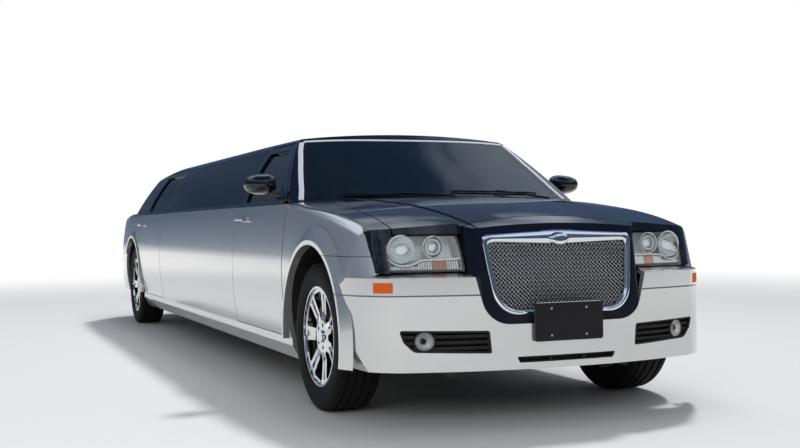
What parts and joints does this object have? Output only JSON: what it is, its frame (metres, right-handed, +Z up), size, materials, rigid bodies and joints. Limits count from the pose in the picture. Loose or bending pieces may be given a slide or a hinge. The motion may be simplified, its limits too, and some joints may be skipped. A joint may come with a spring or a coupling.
{
  "type": "stretch limousine",
  "caption": "Long four-door stretched saloon car with two-tone bodywork, an upright mesh grille, opening doors, hood and trunk lid, steered front wheels.",
  "frame": {"origin": "on the ground in the centre plane, half way along the overall length", "axes": "+Y to the rear, +X to the car's left side, +Z up; the front faces -Y"},
  "size_m": [2.0962, 7.5414, 1.4861],
  "materials": {
    "black_paint": "gloss navy black paint",
    "silver_paint": "silver metallic paint",
    "two_tone_paint": "silver metallic paint with a black crown",
    "chrome": "bright chrome",
    "clear_plastic": "clear lamp cover",
    "amber_plastic": "amber lamp plastic",
    "red_plastic": "red lamp plastic",
    "black_plastic": "grained black plastic",
    "tinted_glass": "tinted glass",
    "cast_steel": "cast and forged steel",
    "underbody": "underbody coating",
    "bright_steel": "stainless steel",
    "interior_plastic": "soft dark plastic",
    "seat_leather": "dark leather",
    "tyre": "black rubber"
  },
  "bodies": {
    "body": {"floor_pan": "underbody", "roof_frame": "black_paint", "front_fenders": "two_tone_paint", "stretch_panels": "silver_paint", "quarter_panels": "silver_paint", "sills": "silver_paint", "front_bumper": "silver_paint", "grille_surround": "black_paint", "grille_frame": "chrome", "grille_mesh": "chrome", "headlamp_bodies": "chrome", "headlamp_covers": "clear_plastic", "bumper_grilles": "black_plastic", "bumper_lamps": "amber_plastic", "front_plate": "black_plastic", "windscreen": "tinted_glass", "rear_window": "tinted_glass", "stretch_windows": "tinted_glass", "rear_bumper": "silver_paint", "tail_lamps": "red_plastic", "front_suspension": "cast_steel", "rear_axle": "cast_steel", "dashboard": "interior_plastic", "seats": "seat_leather", "engine": "cast_steel", "exhaust": "bright_steel", "cowl": "black_plastic", "wheel_liners": "black_plastic", "hinges": "cast_steel"},
    "hood": {"hood": "black_paint"},
    "trunk_lid": {"trunk_lid": "silver_paint"},
    "front_door_left": {"front_door_left": "silver_paint", "front_door_glass_left": "tinted_glass", "mirror_left": "black_paint"},
    "rear_door_left": {"rear_door_left": "silver_paint", "rear_door_glass_left": "tinted_glass"},
    "knuckle_left": {"knuckle_left": "cast_steel"},
    "wheel_front_left": {"tyre_front_left": "tyre", "rim_front_left": "chrome"},
    "wheel_rear_left": {"tyre_rear_left": "tyre", "rim_rear_left": "chrome"},
    "front_door_right": {"front_door_right": "silver_paint", "front_door_glass_right": "tinted_glass", "mirror_right": "black_paint"},
    "rear_door_right": {"rear_door_right": "silver_paint", "rear_door_glass_right": "tinted_glass"},
    "knuckle_right": {"knuckle_right": "cast_steel"},
    "wheel_front_right": {"tyre_front_right": "tyre", "rim_front_right": "chrome"},
    "wheel_rear_right": {"tyre_rear_right": "tyre", "rim_rear_right": "chrome"}
  },
  "joints": [
    {"name": "hood_hinge", "type": "hinge", "parent": "body", "child": "hood", "pos_m": [0, -2.4435, 1.02], "axis": [-1, 0, 0], "range_deg": [0, 55]},
    {"name": "trunk_hinge", "type": "hinge", "parent": "body", "child": "trunk_lid", "pos_m": [0, 2.9765, 1.078], "axis": [1, 0, 0], "range_deg": [0, 70]},
    {"name": "front_door_left", "type": "hinge", "parent": "body", "child": "front_door_left", "pos_m": [0.88, -2.3635, 0.7], "axis": [0, 0, -1], "range_deg": [0, 65]},
    {"name": "rear_door_left", "type": "hinge", "parent": "body", "child": "rear_door_left", "pos_m": [0.88, 1.2755, 0.7], "axis": [0, 0, -1], "range_deg": [0, 65]},
    {"name": "front_door_right", "type": "hinge", "parent": "body", "child": "front_door_right", "pos_m": [-0.88, -2.3635, 0.7], "axis": [0, 0, 1], "range_deg": [0, 65]},
    {"name": "rear_door_right", "type": "hinge", "parent": "body", "child": "rear_door_right", "pos_m": [-0.88, 1.2755, 0.7], "axis": [0, 0, 1], "range_deg": [0, 65]},
    {"name": "steer_left", "type": "hinge", "parent": "body", "child": "knuckle_left", "pos_m": [0.722, -2.9195, 0.36], "axis": [0, 0, 1], "range_deg": [-34, 34]},
    {"name": "steer_right", "type": "hinge", "parent": "body", "child": "knuckle_right", "pos_m": [-0.722, -2.9195, 0.36], "axis": [0, 0, 1], "range_deg": [-34, 34]},
    {"name": "spin_front_left", "type": "hinge", "parent": "knuckle_left", "child": "wheel_front_left", "pos_m": [0.8, -2.9195, 0.36], "axis": [1, 0, 0], "continuous": true},
    {"name": "spin_rear_left", "type": "hinge", "parent": "body", "child": "wheel_rear_left", "pos_m": [0.8, 2.6685, 0.36], "axis": [1, 0, 0], "continuous": true},
    {"name": "spin_front_right", "type": "hinge", "parent": "knuckle_right", "child": "wheel_front_right", "pos_m": [-0.8, -2.9195, 0.36], "axis": [1, 0, 0], "continuous": true},
    {"name": "spin_rear_right", "type": "hinge", "parent": "body", "child": "wheel_rear_right", "pos_m": [-0.8, 2.6685, 0.36], "axis": [1, 0, 0], "continuous": true}
  ],
  "couplings": [
    {"joint": "steer_right", "follows": "steer_left", "ratio": 1}
  ]
}
